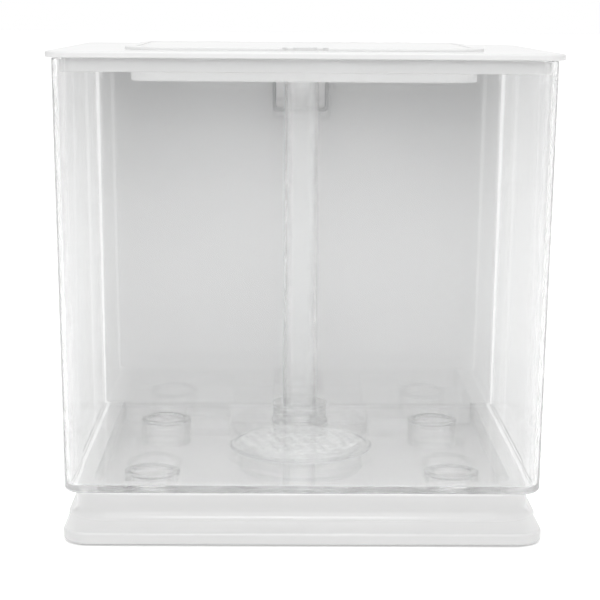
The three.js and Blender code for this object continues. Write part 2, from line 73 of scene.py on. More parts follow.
# Tank
TANK = Rect(93, -81.5, 68.5, 8, 3.2)
TANK_WALL, TANK_TAPER = 2.2, 2.6
TANK_BOTTOM, TANK_FLOOR, TANK_RIM = 15.8, 18.3, 183
SOCKET_INNER, SOCKET_OUTER, SOCKET_BOTTOM = 8.7, 11, 5.6
BEAD_RADIUS, BEAD_WIDTH, BEAD_TOP = 9.4, 3.4, 19.4
SUMP_Y, SUMP_RADIUS, SUMP_WALL, SUMP_BOTTOM = -11.7, 24.6, 1.9, 5.6
SEAT_RADIUS, SEAT_Z = 30.3, 16.9
DUCT_HALF, DUCT_WALL, DUCT_BOTTOM = 6, 1.7, 7.4
NOTCH_HALF, NOTCH_BOTTOM, NOTCH_CORNER = 13, 154.7, 2.5
LINER_WALL, LINER_LIP = 1.8, 1.1

# Strainer and lift tube
RIM_RADIUS, RIM_TOP, RIM_THICK, RIM_OPENING = 29.8, 18.7, 1.5, 22.6
PLATE_RADIUS, PLATE_TOP, PLATE_THICK = 25.2, 20.4, 1.3
HOLE_RADIUS, HOLE_SINK, HOLE_PITCH, HOLE_TURN, HOLE_FIELD, TEETH = 1.25, 0.6, 4.9, 15, 22.5, 44
TUBE_Y = 33.5
COLLAR_OUTER, COLLAR_INNER, COLLAR_TOP = 12.3, 9, 26.5
TUBE_OUTER, TUBE_INNER, TUBE_BOTTOM, TUBE_TOP, TUBE_FLARE, FLARE_HEIGHT = 7.5, 5.9, 19, 176, 8.3, 2.4
WINDOW_HALF, WINDOW_BOTTOM, WINDOW_TOP = 3.6, 158.4, 165.4
SEAL_BOTTOM, SEAL_TOP = 22, 24
SPOUT_HALF, SPOUT_WALL, SPOUT_BOTTOM, SPOUT_TOP, SPOUT_END = 6.4, 1.4, 156.9, 164.9, 80.5

# Lid
LID_BOTTOM, LID_TOP, LID_OVER, LID_CORNER = 183.3, 185.7, 1.9, 9
FLANGE_BOTTOM, FLANGE_WALL, FLANGE_GAP = 178, 2, 0.5
FEED = Rect(67.7, -59.3, 46.3, 13)
FEED_WALL, FEED_BOTTOM, BRIM, BRIM_TOP = 2.1, 173.8, 2.6, 186.9
HATCH_THICK, HATCH_PLAY, HATCH_SHELF, TAB_HALF, FINGER_RADIUS = 1.9, 0.45, 2, 4.5, 9
HINGE_X, HINGE_LENGTH, BARREL, PIN, PLAY, LUG, HINGE_Z = 42, 12, 1.5, 0.85, 0.12, 3.4, 185.6
HINGE_Y = FEED.back - FEED_WALL - 2.1

# Reservoir
FOOT = Rect(82.2, 69.4, 95, 5)
WELL = Rect(92.2, 69.3, 95.6, 3)
WELL_SPREAD, WELL_WALL, WELL_TOP, STEP_Z = 2, 2, 180, 15.8
GRIP_HALF, GRIP_HEIGHT, GRIP_Z = 26, 7, 150


# ---------------------------------------------------------------- solids


def grown(rect, by):
    rear = None if rect.rear is None else max(rect.rear + by, 0.5)
    return Rect(rect.half_x + by, rect.front - by, rect.back + by, max(rect.corner + by, 0.5), rear)


def outline(rect, steps=14):
    """A rounded rectangle in plan, anticlockwise from above. Its rear corners may have their own radius."""
    points = []
    rear = rect.corner if rect.rear is None else rect.rear
    quarters = ((1, rect.back, -1, rear), (-1, rect.back, -1, rear),
                (-1, rect.front, 1, rect.corner), (1, rect.front, 1, rect.corner))
    for quarter, (side, y, inward, radius) in enumerate(quarters):
        for i in range(steps + 1):
            a = (quarter + i / steps) * math.pi / 2
            x = side * (rect.half_x - radius) + radius * math.cos(a)
            points.append((x, y + inward * radius + radius * math.sin(a)))
    return points


def rounded(points, closed=False, steps=5):
    """A polyline of (a, b) or (a, b, radius) with an arc at each corner that has a radius."""
    out = []
    for k, p in enumerate(points):
        if len(p) == 2 or (not closed and k in (0, len(points) - 1)):
            out.append(tuple(p[:2]))
            continue
        here = Vector(p[:2])
        before = Vector(points[k - 1][:2]) - here
        after = Vector(points[(k + 1) % len(points)][:2]) - here
        half = before.angle(after) / 2
        reach = min(p[2] / math.tan(half), 0.49 * before.length, 0.49 * after.length)
        radius = reach * math.tan(half)
        middle = (before.normalized() + after.normalized()).normalized()
        centre = here + middle * (radius / math.sin(half))
        start = here + before.normalized() * reach - centre
        end = here + after.normalized() * reach - centre
        sweep = start.angle_signed(end)
        for i in range(steps + 1):
            turn = Matrix.Rotation(-sweep * i / steps, 2)
            out.append(tuple(centre + turn @ start))
    return out


def solid(vertices, faces):
    """A closed mesh object from millimetre vertices, with its faces turned outwards."""
    mesh = bpy.data.meshes.new("solid")
    mesh.from_pydata([(x * MM, y * MM, z * MM) for x, y, z in vertices], [], faces)
    edit = bmesh.new()
    edit.from_mesh(mesh)
    bmesh.ops.recalc_face_normals(edit, faces=edit.faces)
    edit.to_mesh(mesh)
    edit.free()
    made = bpy.data.objects.new("solid", mesh)
    scene.collection.objects.link(made)
    return made


def loft(levels, steps=14):
    """A solid through rounded rectangles at rising heights, [(rect, z)]."""
    rings = [[(x, y, z) for x, y in outline(rect, steps)] for rect, z in levels]
    n = len(rings[0])
    faces = [tuple(range(n))[::-1], tuple((len(rings) - 1) * n + i for i in range(n))]
    for k in range(len(rings) - 1):
        low, high = k * n, (k + 1) * n
        faces += [(low + i, low + (i + 1) % n, high + (i + 1) % n, high + i) for i in range(n)]
    return solid([p for r in rings for p in r], faces)


def moulded(rect, profile, steps=14):
    """A loft of one rounded rectangle, grown by each (by, z, radius) of a profile."""
    return loft([(grown(rect, by), z) for by, z in rounded(profile)], steps)


def prism(rect, z0, z1, steps=14):
    return loft([(rect, z0), (rect, z1)], steps)


def box(x0, x1, y0, y1, z0, z1):
    corners = [(x, y, z) for x in (x0, x1) for y in (y0, y1) for z in (z0, z1)]
    faces = [(0, 1, 3, 2), (4, 6, 7, 5), (0, 4, 5, 1), (2, 3, 7, 6), (0, 2, 6, 4), (1, 5, 7, 3)]
    return solid(corners, faces)


def turned(profile, x=0, y=0, steps=96):
    """A body of revolution about a vertical axis, from a closed profile of (radius, z, fillet)."""
    vertices, rings = [], []
    for r, z in rounded(profile, closed=True):
        count = 1 if r < 1e-6 else steps
        rings.append([len(vertices) + i for i in range(count)])
        for i in range(count):
            a = 2 * math.pi * i / steps
            vertices.append((x + r * math.cos(a), y + r * math.sin(a), z))
    faces = []
    for a, b in zip(rings, rings[1:] + rings[:1]):
        for i in range(steps):
            corners = [a[i % len(a)], a[(i + 1) % len(a)], b[(i + 1) % len(b)], b[i % len(b)]]
            corners = list(dict.fromkeys(corners))
            if len(corners) > 2:
                faces.append(tuple(corners))
    return solid(vertices, faces)


def disc(radius, z0, z1, x=0, y=0, steps=96):
    return turned([(0, z0), (radius, z0), (radius, z1), (0, z1)], x, y, steps)


def extruded(points, y0, y1):
    """A flat shape of (x, z) points carried along Y."""
    n = len(points)
    vertices = [(x, y0, z) for x, z in points] + [(x, y1, z) for x, z in points]
    faces = [tuple(range(n)), tuple(range(n, 2 * n))[::-1]]
    faces += [(i, (i + 1) % n, n + (i + 1) % n, n + i) for i in range(n)]
    return solid(vertices, faces)


def bar_x(radius, x0, x1, y, z, steps=32):
    circle = [(math.cos(2 * math.pi * i / steps), math.sin(2 * math.pi * i / steps)) for i in range(steps)]
    vertices = [(x, y + radius * c, z + radius * s) for x in (x0, x1) for c, s in circle]
    faces = [tuple(range(steps)), tuple(range(steps, 2 * steps))[::-1]]
    faces += [(i, (i + 1) % steps, steps + (i + 1) % steps, steps + i) for i in range(steps)]
    return solid(vertices, faces)


def notch_shape(half_x, bottom, corner=NOTCH_CORNER, top=TANK_RIM + 10):
    """The outline of a U-shaped opening, open at the top."""
    corners = [(-half_x, top), (-half_x, bottom, corner), (half_x, bottom, corner), (half_x, top)]
    return rounded(corners, steps=8)


def gathered(parts):
    """Separate solids as one object, for a single cut."""
    edit = bmesh.new()
    for part in parts:
        edit.from_mesh(part.data)
    edit.to_mesh(parts[0].data)
    edit.free()
    for part in parts[1:]:
        bpy.data.objects.remove(part)
    return parts[0]


def combined(body, others, operation):
    for other in others:
        step = body.modifiers.new(operation, "BOOLEAN")
        step.operation, step.solver, step.object = operation, "MANIFOLD", other
    mesh = bpy.data.meshes.new_from_object(body.evaluated_get(bpy.context.evaluated_depsgraph_get()))
    body.modifiers.clear()
    body.data = mesh
    for other in others:
        bpy.data.objects.remove(other)
    return body


def joined(body, *others):
    return combined(body, others, "UNION")


def cut(body, *others):
    return combined(body, others, "DIFFERENCE")


def piece(made, name, body, slot, look, *nodes, sharp=32, bevel=0):
    """Names a finished solid, shades it smooth up to an angle and puts it in the place of its CAD nodes."""
    made.name = made.data.name = name
    if bevel:
        edge = made.modifiers.new("edge", "BEVEL")
        edge.width, edge.segments = bevel * MM, 3
        edge.limit_method, edge.angle_limit = "ANGLE", math.radians(50)
        edge.use_clamp_overlap = True
        mesh = bpy.data.meshes.new_from_object(made.evaluated_get(bpy.context.evaluated_depsgraph_get()))
        made.modifiers.clear()
        made.data = mesh
    made.data.shade_smooth()
    made.data.set_sharp_from_angle(angle=math.radians(sharp))
    even = made.modifiers.new("even", "WEIGHTED_NORMAL")
    even.mode, even.keep_sharp, even.weight = "FACE_AREA", True, 50
    made.data.materials.clear()
    made.data.materials.append(look)
    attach(made, body)
    if nodes:
        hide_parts(*nodes)
    return made


# ---------------------------------------------------------------- materials


def shader(name):
    look = bpy.data.materials.new(name)
    look.use_nodes = True
    nodes, links = look.node_tree.nodes, look.node_tree.links
    return look, nodes, links, nodes["Principled BSDF"]


def noise(nodes, links, scale, detail=3.0, roughness=0.5, stretch=None):
    """Noise over the object, with an optional stretch along each axis."""
    place = nodes.new("ShaderNodeTexCoord")
    texture = nodes.new("ShaderNodeTexNoise")
    texture.inputs["Scale"].default_value = scale
    texture.inputs["Detail"].default_value = detail
    texture.inputs["Roughness"].default_value = roughness
    source = place.outputs["Object"]
    if stretch:
        mapping = nodes.new("ShaderNodeMapping")
        mapping.inputs["Scale"].default_value = stretch
        links.new(source, mapping.inputs["Vector"])
        source = mapping.outputs["Vector"]
    links.new(source, texture.inputs["Vector"])
    return texture.outputs["Fac"]


def ramp(nodes, links, value, low, high, start=0.3, end=0.7):
    """The value mapped to two greys or colours."""
    made = nodes.new("ShaderNodeValToRGB")
    made.color_ramp.elements[0].position, made.color_ramp.elements[1].position = start, end
    made.color_ramp.elements[0].color, made.color_ramp.elements[1].color = (*low, 1), (*high, 1)
    links.new(value, made.inputs["Fac"])
    return made.outputs["Color"]


def spread(nodes, links, value, low, high):
    made = nodes.new("ShaderNodeMapRange")
    made.inputs["To Min"].default_value, made.inputs["To Max"].default_value = low, high
    links.new(value, made.inputs["Value"])
    return made.outputs["Result"]


def bump(nodes, links, value, strength, distance=0.0002):
    made = nodes.new("ShaderNodeBump")
    made.inputs["Strength"].default_value, made.inputs["Distance"].default_value = strength, distance
    links.new(value, made.inputs["Height"])
    return made.outputs["Normal"]


def opaque(name, low, high, roughness, grain=2600, relief=0.03, coat=0.0, metal=0.0, stretch=None):
    """Moulded plastic, rubber or metal, with a slight change of tone and gloss and a fine grain."""
    look, nodes, links, body = shader(name)
    body.inputs["Metallic"].default_value = metal
    body.inputs["Coat Weight"].default_value = coat
    body.inputs["Coat Roughness"].default_value = 0.06
    links.new(ramp(nodes, links, noise(nodes, links, 9, 2), low, high, 0.2, 0.8), body.inputs["Base Color"])
    links.new(spread(nodes, links, noise(nodes, links, 14, 2), *roughness), body.inputs["Roughness"])
    links.new(bump(nodes, links, noise(nodes, links, grain, 2, 0.5, stretch), relief), body.inputs["Normal"])
    return look


def clear(name, low, high, ior, roughness, haze, bending, wave=0.02, wave_scale=18):
    """Clear plastic, very slightly milky. Part of the light goes through unbent, and in shadows all of it."""
    look, nodes, links, body = shader(name)
    body.inputs["Transmission Weight"].default_value = 1.0 - haze
    body.inputs["Alpha"].default_value = bending
    body.inputs["IOR"].default_value = ior
    body.inputs["Roughness"].default_value = roughness
    cloud = noise(nodes, links, 30, 2)
    links.new(ramp(nodes, links, cloud, low, high), body.inputs["Base Color"])
    links.new(bump(nodes, links, noise(nodes, links, wave_scale, 1), wave, 0.0005), body.inputs["Normal"])
    through = nodes.new("ShaderNodeBsdfTransparent")
    through.inputs["Color"].default_value = (0.988, 0.989, 0.989, 1)
    path = nodes.new("ShaderNodeLightPath")
    mix = nodes.new("ShaderNodeMixShader")
    links.new(path.outputs["Is Shadow Ray"], mix.inputs["Fac"])
    links.new(body.outputs["BSDF"], mix.inputs[1])
    links.new(through.outputs["BSDF"], mix.inputs[2])
    links.new(mix.outputs["Shader"], nodes["Material Output"].inputs["Surface"])
    return look


# Painted light: the stand's white is set darker and the reservoir's lighter, two tones for the same white
# plastic, so that the reservoir in the shade of the lid reads about as bright as the stand outside.
WHITE = opaque("white_moulding", (0.77, 0.77, 0.768), (0.79, 0.79, 0.788), (0.22, 0.28), coat=0.25)
LID_WHITE = opaque("lid_moulding", (0.84, 0.84, 0.838), (0.86, 0.86, 0.858), (0.28, 0.34), coat=0.2)
PANEL = opaque("reservoir_moulding", (0.84, 0.84, 0.84), (0.86, 0.86, 0.86), (0.40, 0.46))
PEG = opaque("peg_moulding", (0.84, 0.84, 0.835), (0.86, 0.86, 0.855), (0.45, 0.55))
CLEAR = clear("clear_wall", (0.992, 0.994, 0.994), (0.996, 0.998, 0.998), 1.45, 0.003, 0.02, 0.82, 0.0004)
FITTING_TINTS = (0.985, 0.988, 0.988), (0.992, 0.995, 0.995)
FITTING = clear("clear_fitting", *FITTING_TINTS, 1.45, 0.012, 0.05, 0.65, 0.001, 60)
GRID = clear("clear_grid", *FITTING_TINTS, 1.45, 0.03, 0.22, 0.6, 0.01, 60)
SILICONE = opaque("grey_silicone", (0.36, 0.365, 0.37), (0.42, 0.425, 0.43), (0.5, 0.6), 1400, 0.12)
SEAL = opaque("pale_silicone", (0.60, 0.605, 0.61), (0.66, 0.665, 0.67), (0.5, 0.6), 1400, 0.12)
RUBBER = opaque("dark_rubber", (0.03, 0.03, 0.032), (0.06, 0.06, 0.062), (0.7, 0.85), 2200, 0.3)
STEEL = opaque("plain_steel", (0.50, 0.51, 0.52), (0.66, 0.67, 0.68), (0.22, 0.34), 600, 0.1,
               metal=1.0, stretch=(0.1, 1, 1))

# ---------------------------------------------------------------- stand


def stand():
    slab = moulded(SLAB, [(-1.4, SLAB_BOTTOM), (0, SLAB_BOTTOM, 1.2), (0, SLAB_TOP, 1.0), (-2, SLAB_TOP)])
    foot = [(FLARE, SLAB_TOP - 1), (FLARE, SLAB_TOP + 0.02)]
    turns = [math.radians(90 * i / COVE_STEPS) for i in range(1, COVE_STEPS)]
    cove = [(FLARE * (1 - math.sin(a)), SLAB_TOP + COVE_HEIGHT * (1 - math.cos(a))) for a in turns]
    top = rounded([(0, SLAB_TOP + COVE_HEIGHT), (0, LEDGE_TOP, 0.9), (-2, LEDGE_TOP)])
    levels = [(grown(LEDGE, by)._replace(back=LEDGE.back), z) for by, z in foot + cove + top]
    neck = cut(loft(levels), prism(RECESS, SLAB_TOP, LEDGE_TOP + 5))
    blocks = []
    block_rect = Rect(BLOCK_WIDTH / 2, BLOCK_FRONT, BLOCK_BACK, 1.5)
    for sign in (-1, 1):
        block = moulded(block_rect, [(0, SLAB_TOP - 1), (0, BLOCK_TOP, 0.8), (-1.2, BLOCK_TOP)], 8)
        block.data.transform(Matrix.Translation((sign * (BLOCK_INNER + BLOCK_WIDTH / 2) * MM, 0, 0)))
        blocks.append(block)
    body = joined(slab, neck, *blocks)
    pockets = [disc(PAD_RADIUS + GAP, 0, PAD_THICK + GAP, x, y, 48) for x, y in PAD_PLACES.values()]
    hole_radius, hole_bottom = PEG_SPIGOT + GAP, PEG_SPIGOT_BOTTOM - GAP
    holes = [disc(hole_radius, hole_bottom, SLAB_TOP + 1, x, y, 32) for x, y in PEG_PLACES.values()]
    return cut(body, *pockets, *holes)


piece(stand(), "stand_body", "stand", "white_abs", WHITE, "stand_tray")
for place, (x, y) in PAD_PLACES.items():
    pad = turned([(0, 0), (PAD_RADIUS, 0, 0.4), (PAD_RADIUS, PAD_THICK, 0.2), (0, PAD_THICK)], x, y, 64)
    piece(pad, f"rubber_pad_{place}", "stand", "rubber", RUBBER, f"foot_pad_{place}")
for place, (x, y) in PEG_PLACES.items():
    seat = SLAB_TOP + GAP
    peg = turned([(0, PEG_SPIGOT_BOTTOM), (PEG_SPIGOT, PEG_SPIGOT_BOTTOM, 0.3), (PEG_SPIGOT, seat),
                  (PEG_RADIUS, seat, 0.3), (PEG_RADIUS, PEG_TOP, 0.9), (0, PEG_TOP)], x, y, 64)
    piece(peg, f"peg_{place}", "stand", "white_peg", PEG, f"locating_peg_{place}")

# ---------------------------------------------------------------- reservoir


def well_at(z, inset=0):
    """The outer wall of the reservoir at a height, shrunk by an inset. Its front leans back with the tank."""
    share = (z - STEP_Z) / (WELL_TOP - STEP_Z)
    half_x, back = WELL.half_x + WELL_SPREAD * share, WELL.back + WELL_SPREAD * share
    return grown(Rect(half_x, WELL.front + TANK_TAPER * share, back, WELL.corner), -inset)


def reservoir():
    z0 = SLAB_TOP + GAP
    foot = moulded(FOOT, [(-1.5, z0), (0, z0, 0.8), (0, STEP_Z + 1)])
    rim = rounded([(0.7, STEP_Z), (0, STEP_Z + 0.8, 0.6), (0, WELL_TOP, 0.5), (0.9, WELL_TOP)])
    outer = joined(foot, loft([(well_at(z, inset), z) for inset, z in rim]))
    foot_inner = prism(grown(FOOT, -WELL_WALL), z0 + WELL_WALL, STEP_Z + 4)
    inner = loft([(well_at(z, WELL_WALL), z) for z in (STEP_Z + 2.2, WELL_TOP + 1)])
    notch = extruded(notch_shape(NOTCH_HALF + 0.1, NOTCH_BOTTOM - 0.3), WELL.front - 3, WELL.front + 8)
    body = cut(outer, foot_inner, inner, notch)
    y = well_at(GRIP_Z).back
    rail = Rect(GRIP_HALF, y - 1.2, -SLAB.front, 0.5)
    levels = [(rail._replace(back=y), GRIP_Z - GRIP_HEIGHT), (rail, GRIP_Z - 1.2), (rail, GRIP_Z)]
    return joined(body, loft(levels, 4))


piece(reservoir(), "waste_reservoir", "reservoir", "white_reservoir", PANEL, "reservoir_box")

# ---------------------------------------------------------------- tank


def tank_at(z, inset=0):
    return grown(TANK, TANK_TAPER * (z - TANK_BOTTOM) / (TANK_RIM - TANK_BOTTOM) - inset)


def duct(half_x, z0, z1):
    return joined(disc(half_x, z0, z1, 0, TUBE_Y), box(-half_x, half_x, SUMP_Y + 15, TUBE_Y, z0, z1))


def tank():
    edge = rounded([(3, TANK_BOTTOM), (0, TANK_BOTTOM, 1.8), (0, TANK_RIM, 0.5), (1, TANK_RIM)], steps=7)
    outer = loft([(tank_at(z, inset), z) for inset, z in edge], 18)
    hollow = [(TANK_WALL + 3, TANK_FLOOR), (TANK_WALL, TANK_FLOOR, 1.2), (TANK_WALL, TANK_RIM + 1)]
    hollow = rounded(hollow, steps=7)
    inner = loft([(tank_at(z, inset), z) for inset, z in hollow], 18)
    wide, base, top = SUMP_RADIUS + SUMP_WALL, SUMP_BOTTOM, TANK_FLOOR - 0.5
    well = turned([(0, base), (wide, base, 2.4), (wide, top), (0, top)], 0, SUMP_Y, FINE)
    base, top = SUMP_BOTTOM + SUMP_WALL, TANK_FLOOR + 1
    well_inside = turned([(0, base), (SUMP_RADIUS, base, 1.6), (SUMP_RADIUS, top), (0, top)], 0, SUMP_Y, FINE)
    seat = disc(SEAT_RADIUS, SEAT_Z, TANK_FLOOR + 1, 0, SUMP_Y, FINE)
    tube_seat = disc(COLLAR_OUTER + 0.4, SEAT_Z, TANK_FLOOR + 1, 0, TUBE_Y)
    bridge = box(-COLLAR_OUTER, COLLAR_OUTER, SUMP_Y + 20, TUBE_Y, SEAT_Z, TANK_FLOOR + 1)
    outer_duct = duct(DUCT_HALF + DUCT_WALL, DUCT_BOTTOM, TANK_FLOOR - 0.5)
    inner_duct = duct(DUCT_HALF, DUCT_BOTTOM + DUCT_WALL, TANK_FLOOR + 1)
    half = BEAD_WIDTH / 2
    sockets = []
    for x, y in PEG_PLACES.values():
        sockets.append(turned([(SOCKET_INNER, SOCKET_BOTTOM, 0.4), (SOCKET_OUTER, SOCKET_BOTTOM, 0.6),
                               (SOCKET_OUTER, TANK_BOTTOM + 1), (SOCKET_INNER, TANK_BOTTOM + 1)], x, y))
        inside, outside, fillet = BEAD_RADIUS - half, BEAD_RADIUS + half, half * 0.95
        sockets.append(turned([(inside, TANK_FLOOR - 1), (outside, TANK_FLOOR - 1),
                               (outside, BEAD_TOP, fillet), (inside, BEAD_TOP, fillet)], x, y))
    notch = extruded(notch_shape(NOTCH_HALF, NOTCH_BOTTOM), TANK.back - 6, TANK.back + 6)
    shell = joined(cut(outer, inner), well, outer_duct, *sockets)
    return cut(shell, well_inside, seat, tube_seat, bridge, inner_duct, notch)


def liner():
    back, top = tank_at(NOTCH_BOTTOM).back, FLANGE_BOTTOM - 1
    outer = notch_shape(NOTCH_HALF - GAP / 2, NOTCH_BOTTOM + GAP / 2, top=top)
    inner = notch_shape(NOTCH_HALF - LINER_WALL, NOTCH_BOTTOM + LINER_WALL, NOTCH_CORNER - 1, top)
    return extruded(outer + inner[::-1], back - TANK_WALL - LINER_LIP - 0.4, back + 0.4)


piece(tank(), "clear_tank", "tank", "clear_styrene", CLEAR, "tank_shell")
piece(liner(), "notch_trim", "tank", "silicone", SILICONE, "notch_liner", bevel=0.4)

# ---------------------------------------------------------------- strainer and lift tube


def strainer_ring():
    z0 = RIM_TOP - RIM_THICK
    flange = [(0, z0), (RIM_RADIUS, z0, 0.3), (RIM_RADIUS, RIM_TOP, 0.4), (0, RIM_TOP)]
    flange = turned(flange, 0, SUMP_Y, FINE)
    lobe = turned([(0, z0), (COLLAR_OUTER, z0, 0.3), (COLLAR_OUTER, RIM_TOP, 0.3), (0, RIM_TOP)], 0, TUBE_Y)
    web = box(3 - COLLAR_OUTER, COLLAR_OUTER - 3, SUMP_Y + 26, TUBE_Y, z0, RIM_TOP)
    inside, outside, top = RIM_RADIUS - 2.1, RIM_RADIUS - 0.1, RIM_TOP + 0.5
    bead = [(inside, RIM_TOP - 0.5), (outside, RIM_TOP - 0.5), (outside, top, 0.6), (inside, top, 0.6)]
    bead = turned(bead, 0, SUMP_Y, FINE)
    bead = cut(bead, box(-COLLAR_OUTER, COLLAR_OUTER, SUMP_Y + 20, TUBE_Y + 20, z0, RIM_TOP + 2))
    mouth = disc(RIM_OPENING, z0 - 1, RIM_TOP + 2, 0, SUMP_Y, FINE)
    hole = disc(TUBE_INNER + 0.4, z0 - 1, RIM_TOP + 2, 0, TUBE_Y)
    return cut(joined(flange, lobe, web, bead), mouth, hole)


def strainer():
    z0, foot, outer, inner = PLATE_TOP - PLATE_THICK, RIM_TOP + 0.1, PLATE_RADIUS, PLATE_RADIUS - 1.3
    plate = turned([(0, z0), (outer, z0), (outer, PLATE_TOP, 0.5), (0, PLATE_TOP)], 0, SUMP_Y, FINE)
    mouth, above = HOLE_RADIUS + HOLE_SINK, PLATE_TOP + 1
    hole = [(0, z0 - 1), (HOLE_RADIUS, z0 - 1), (HOLE_RADIUS, PLATE_TOP - HOLE_SINK, 0.4),
            (mouth, PLATE_TOP + 0.05), (mouth, above), (0, above)]
    turn, reach, holes = math.radians(HOLE_TURN), math.ceil(HOLE_FIELD / HOLE_PITCH), []
    for i in range(-reach, reach + 1):
        for j in range(-reach, reach + 1):
            x = HOLE_PITCH * (i * math.cos(turn) - j * math.sin(turn))
            y = HOLE_PITCH * (i * math.sin(turn) + j * math.cos(turn))
            if math.hypot(x, y) < HOLE_FIELD:
                holes.append(turned(hole, x, SUMP_Y + y, 20))
    skirt = [(inner, foot), (outer, foot), (outer, z0 + 0.2), (inner, z0 + 0.2)]
    skirt = turned(skirt, 0, SUMP_Y, 4 * TEETH)
    slots = []
    for i in range(TEETH):
        slot = box(-0.8, 0.8, outer - 2.5, outer + 1, foot - 1, z0 - 0.1)
        about = Matrix.Rotation(2 * math.pi * i / TEETH, 4, "Z")
        slot.data.transform(Matrix.Translation((0, SUMP_Y * MM, 0)) @ about)
        slots.append(slot)
    band = [(inner, foot), (outer, foot), (outer, foot + 0.35), (inner, foot + 0.35)]
    band = turned(band, 0, SUMP_Y, 4 * TEETH)
    return joined(cut(plate, gathered(holes)), cut(skirt, gathered(slots)), band)


def collar():
    z0 = RIM_TOP + GAP
    return turned([(COLLAR_INNER, z0, 0.2), (COLLAR_OUTER, z0, 0.3), (COLLAR_OUTER - 0.4, z0 + 1.2, 0.5),
                   (COLLAR_OUTER - 0.4, COLLAR_TOP - 1.4, 0.4), (COLLAR_OUTER, COLLAR_TOP - 0.6, 0.4),
                   (COLLAR_OUTER - 0.5, COLLAR_TOP, 0.4), (COLLAR_INNER, COLLAR_TOP, 0.5)], 0, TUBE_Y, 96)


def seal():
    inside, outside = TUBE_OUTER + 0.15, COLLAR_INNER - 0.12
    return turned([(TUBE_FLARE + 0.1, SEAL_BOTTOM, 0.2), (outside, SEAL_BOTTOM, 0.3),
                   (outside, SEAL_TOP, 0.5), (inside, SEAL_TOP, 0.5), (inside, SEAL_BOTTOM + 0.6)], 0, TUBE_Y)


def tube():
    top = TUBE_BOTTOM + FLARE_HEIGHT
    wall = turned([(TUBE_INNER, TUBE_BOTTOM, 0.2), (TUBE_FLARE, TUBE_BOTTOM, 0.3),
                   (TUBE_FLARE, TUBE_BOTTOM + 0.8, 0.5), (TUBE_OUTER, top, 1),
                   (TUBE_OUTER, TUBE_TOP, 0.4), (TUBE_INNER, TUBE_TOP, 0.2)], 0, TUBE_Y)
    return cut(wall, box(-WINDOW_HALF, WINDOW_HALF, TUBE_Y + 2, TUBE_Y + 12, WINDOW_BOTTOM, WINDOW_TOP))


def spout():
    y0, wall = TUBE_Y + 1, SPOUT_WALL
    outer = box(-SPOUT_HALF, SPOUT_HALF, y0, SPOUT_END, SPOUT_BOTTOM, SPOUT_TOP)
    half = SPOUT_HALF - wall
    channel = box(-half, half, y0 - 1, SPOUT_END + 1, SPOUT_BOTTOM + wall, SPOUT_TOP + 1)
    return cut(outer, channel, disc(TUBE_OUTER + 0.12, SPOUT_BOTTOM - 1, SPOUT_TOP + 1, 0, TUBE_Y))


piece(strainer_ring(), "strainer_flange", "strainer", "clear_fitting", FITTING, "strainer_rim")
piece(strainer(), "strainer_grid", "strainer", "clear_fitting", GRID, "strainer_plate")
piece(collar(), "collar_ring", "strainer", "clear_fitting", FITTING, "tube_collar")
piece(seal(), "seal_ring", "tube", "silicone", SEAL, "tube_seal")
piece(tube(), "clear_tube", "tube", "clear_fitting", FITTING, "lift_tube")
piece(spout(), "spout_trough", "tube", "clear_fitting", FITTING, "tube_spout", bevel=0.2)

# ---------------------------------------------------------------- lid


def lid():
    edge = tank_at(TANK_RIM, -LID_OVER)._replace(corner=LID_CORNER, rear=None)
    plate = moulded(edge, [(-3, LID_BOTTOM), (0, LID_BOTTOM, 0.5), (0, LID_TOP, 0.8), (-3, LID_TOP)])
    outside = tank_at(FLANGE_BOTTOM, TANK_WALL + FLANGE_GAP)
    flange = cut(
        moulded(outside, [(-1.2, FLANGE_BOTTOM), (0, FLANGE_BOTTOM, 0.4), (0, LID_BOTTOM + 0.2)]),
        prism(grown(outside, -FLANGE_WALL), FLANGE_BOTTOM - 1, LID_BOTTOM + 1),
    )
    return cut(joined(plate, flange), prism(grown(FEED, GAP), FLANGE_BOTTOM - 1, LID_TOP + 1))


def feed_ring():
    inside, hatch_bottom = grown(FEED, -FEED_WALL), BRIM_TOP - HATCH_THICK
    wall = moulded(FEED, [(-1.2, FEED_BOTTOM), (0, FEED_BOTTOM, 0.5), (0, LID_TOP + GAP + 0.2)])
    brim_bottom = LID_TOP - 0.05
    brim = moulded(FEED, [(BRIM - 1, brim_bottom), (BRIM, brim_bottom, 0.3),
                          (BRIM, BRIM_TOP, 0.5), (BRIM - 1.2, BRIM_TOP)])
    body = cut(
        joined(wall, brim),
        prism(inside, hatch_bottom - GAP, BRIM_TOP + 1),
        prism(grown(inside, -HATCH_SHELF), FEED_BOTTOM - 1, BRIM_TOP),
        prism(inside, FEED_BOTTOM - 1, hatch_bottom - 2.4),
        disc(FINGER_RADIUS, hatch_bottom - GAP, BRIM_TOP + 1, 0, FEED.front - 3.5, 64),
    )
    lugs, cuts = [], []
    for side in (-1, 1):
        x, half = side * HINGE_X, HINGE_LENGTH / 2
        cuts.append(box(x - half - PLAY, x + half + PLAY, HINGE_Y - BARREL - 1, HINGE_Y + BARREL + 0.5,
                        HINGE_Z - BARREL - 0.4, BRIM_TOP + 1))
        for end in (-1, 1):
            middle = x + end * (half + PLAY + LUG / 2)
            lugs.append(box(middle - LUG / 2, middle + LUG / 2, HINGE_Y - 1.3, FEED.back - FEED_WALL + 0.5,
                            hatch_bottom - 2.4, BRIM_TOP))
            cuts.append(bar_x(PIN + 0.05, middle - LUG / 2 - 1, middle + LUG / 2 + 1, HINGE_Y, HINGE_Z))
    return cut(joined(body, *lugs), *cuts)


